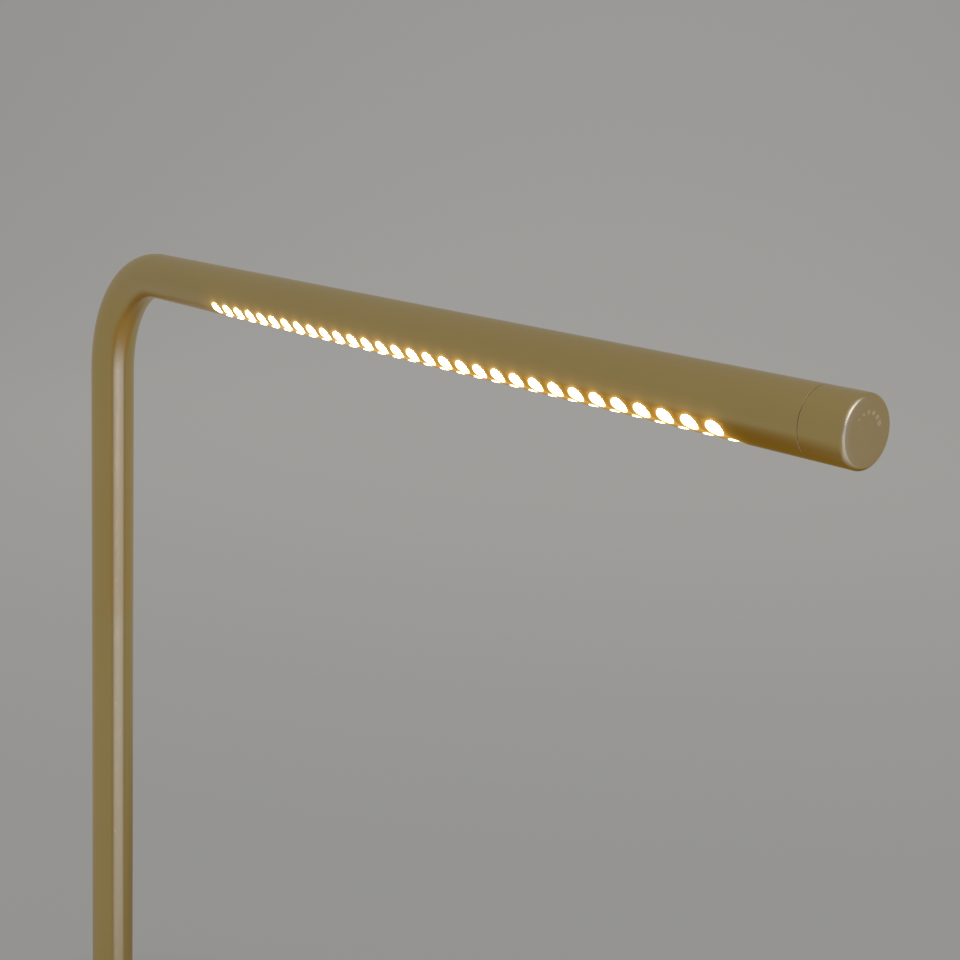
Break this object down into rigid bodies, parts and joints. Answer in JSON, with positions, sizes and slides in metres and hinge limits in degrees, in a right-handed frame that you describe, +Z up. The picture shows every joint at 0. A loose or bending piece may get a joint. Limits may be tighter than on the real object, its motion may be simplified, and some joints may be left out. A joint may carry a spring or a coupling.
{
  "type": "piano lamp",
  "caption": "Piano lamp with a weighted round base, a bent tube that swivels on it, rows of light holes along the underside of its level arm and a dimmer knob on the end.",
  "frame": {"origin": "middle of the underside of the base pad, on the axis of the post", "axes": "+X along the arm towards the dimmer knob, +Z up; the light falls down and towards -Y"},
  "size_m": [0.56, 0.17, 0.5],
  "materials": {
    "satin_brass": "fine satin, lacquered",
    "cast_iron": "raw casting",
    "zinc_steel": "zinc plated",
    "soft_pad": "matt foam rubber",
    "bearing_bronze": "machined",
    "nylon": "natural",
    "bar_aluminium": "extruded",
    "circuit_board": "white solder mask",
    "black_plastic": "moulded",
    "lead_sleeve": "silicone sleeve",
    "led_chip": "phosphor",
    "opal_diffuser": "opal"
  },
  "bodies": {
    "base": {"base_cover": "satin_brass", "base_weight": "cast_iron", "base_plate": "zinc_steel", "base_pad": "soft_pad", "base_screws": "zinc_steel", "post_collar": "satin_brass", "swivel_bush": "bearing_bronze", "thrust_washer": "nylon", "stop_pin": "zinc_steel", "dc_inlet": "black_plastic", "inlet_nut": "zinc_steel", "driver_board": "circuit_board", "driver_parts": "black_plastic", "driver_screws": "zinc_steel", "inlet_lead": "lead_sleeve", "base_lead": "lead_sleeve"},
    "swing_arm": {"lamp_tube": "satin_brass", "post_spigot": "zinc_steel", "spigot_pins": "zinc_steel", "friction_washer": "nylon", "stop_washer": "zinc_steel", "spring_washer": "zinc_steel", "lock_nut": "zinc_steel", "led_bar": "bar_aluminium", "bar_clips": "zinc_steel", "led_board": "circuit_board", "led_chips": "led_chip", "board_screws": "zinc_steel", "diffuser": "opal_diffuser", "arm_lead": "lead_sleeve", "led_lead": "lead_sleeve", "end_plug": "bar_aluminium", "plug_screw": "zinc_steel", "dimmer_body": "black_plastic", "dimmer_nut": "zinc_steel"},
    "dimmer": {"dimmer_knob": "satin_brass", "dimmer_shaft": "zinc_steel", "knob_clip": "zinc_steel"}
  },
  "joints": [
    {"name": "post_swivel", "type": "hinge", "parent": "base", "child": "swing_arm", "pos_m": [0, 0, 0.023], "axis": [0, 0, 1], "range_deg": [-160, 160]},
    {"name": "dimmer_turn", "type": "hinge", "parent": "swing_arm", "child": "dimmer", "pos_m": [0.46, 0, 0.489], "axis": [1, 0, 0], "range_deg": [0, 300]}
  ]
}
